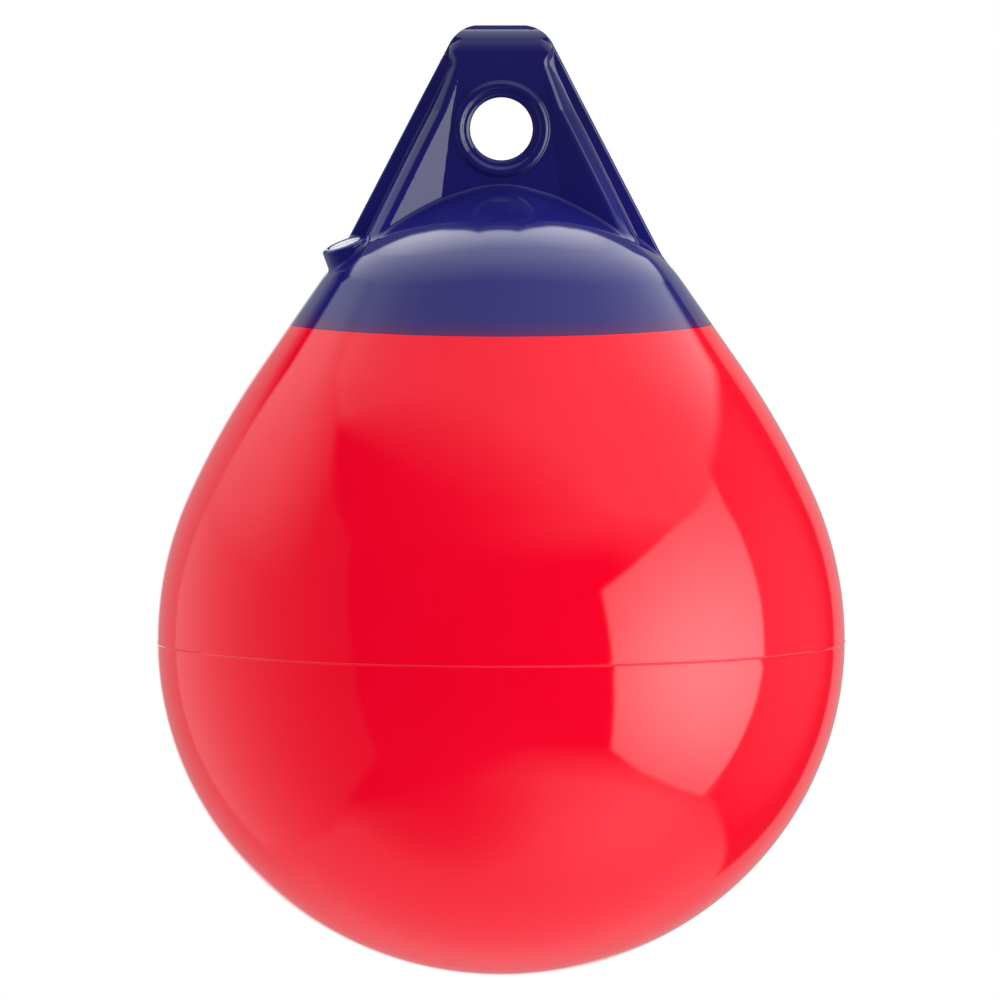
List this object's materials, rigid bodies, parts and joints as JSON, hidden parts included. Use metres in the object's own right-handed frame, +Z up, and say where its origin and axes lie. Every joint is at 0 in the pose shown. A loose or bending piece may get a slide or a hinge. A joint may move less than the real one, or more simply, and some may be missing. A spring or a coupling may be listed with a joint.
{
  "type": "ball fender",
  "caption": "Inflatable ball fender: a soft red ball that narrows to a blue moulded rope hold with a rope eye, ribs, side fins and an inflation valve.",
  "frame": {"origin": "centre of the rope eye, where the fender hangs from its rope", "axes": "+Z up along the fender's axis, +Y through the rope eye, X along the web of the rope hold, with the valve at -X"},
  "size_m": [0.281, 0.281, 0.3863],
  "materials": {
    "red_vinyl": "glossy soft PVC, smooth",
    "blue_vinyl": "glossy soft PVC, smooth",
    "bush_nylon": "satin moulded nylon",
    "plug_nylon": "satin moulded nylon",
    "washer_rubber": "matt rubber",
    "flap_rubber": "matt rubber"
  },
  "bodies": {
    "root": {"ball_body": "red_vinyl", "rope_hold": "blue_vinyl", "valve_insert": "bush_nylon", "valve_flap": "flap_rubber", "plug_washer": "washer_rubber", "valve_plug": "plug_nylon"}
  },
  "joints": []
}
